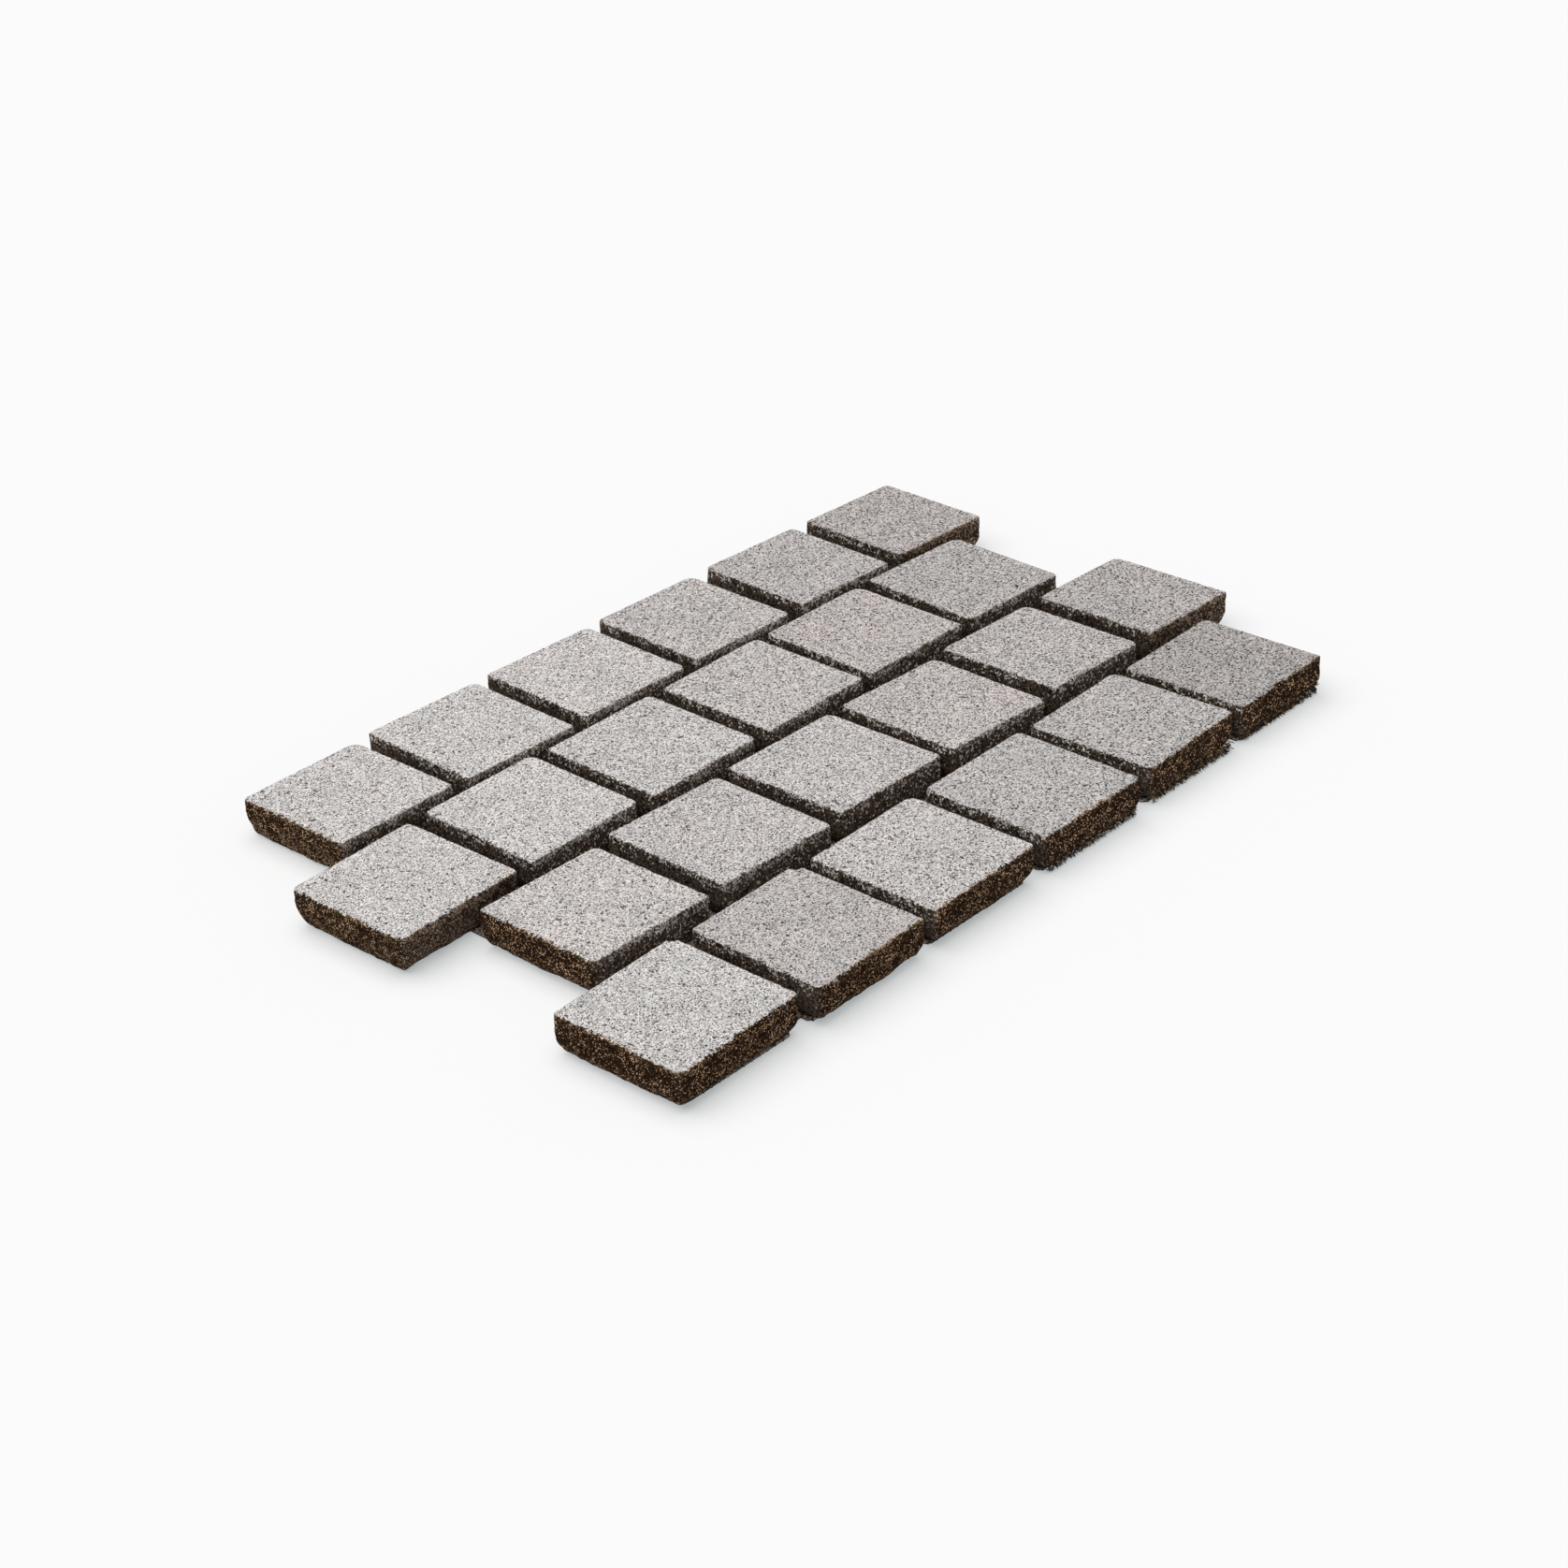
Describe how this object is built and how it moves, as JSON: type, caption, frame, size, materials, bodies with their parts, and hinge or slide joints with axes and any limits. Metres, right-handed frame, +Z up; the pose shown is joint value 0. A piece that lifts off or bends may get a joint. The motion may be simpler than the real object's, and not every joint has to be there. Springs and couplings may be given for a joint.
{
  "type": "granite sett mat",
  "caption": "Square granite setts with flamed tops and split sides, laid in stretcher bond with open joints on a thin flexible backing sheet, with stepped ends.",
  "frame": {"origin": "middle of the box round the mat, on the backing sheet's underside", "axes": "+X along the rows of setts, +Y across them towards the far row, +Z up through the walking surface"},
  "size_m": [0.6446, 0.4076, 0.025],
  "materials": {
    "granite": "flamed top, rough split sides",
    "backing": "matt black net in adhesive"
  },
  "bodies": {
    "root": {"sett_r1_c1": "granite", "sett_r1_c2": "granite", "sett_r1_c3": "granite", "sett_r1_c4": "granite", "sett_r1_c5": "granite", "sett_r1_c6": "granite", "sett_r2_c1": "granite", "sett_r2_c2": "granite", "sett_r2_c3": "granite", "sett_r2_c4": "granite", "sett_r2_c5": "granite", "sett_r2_c6": "granite", "sett_r3_c1": "granite", "sett_r3_c2": "granite", "sett_r3_c3": "granite", "sett_r3_c4": "granite", "sett_r3_c5": "granite", "sett_r3_c6": "granite", "sett_r4_c1": "granite", "sett_r4_c2": "granite", "sett_r4_c3": "granite", "sett_r4_c4": "granite", "sett_r4_c5": "granite", "sett_r4_c6": "granite", "backing_sheet": "backing"}
  },
  "joints": []
}
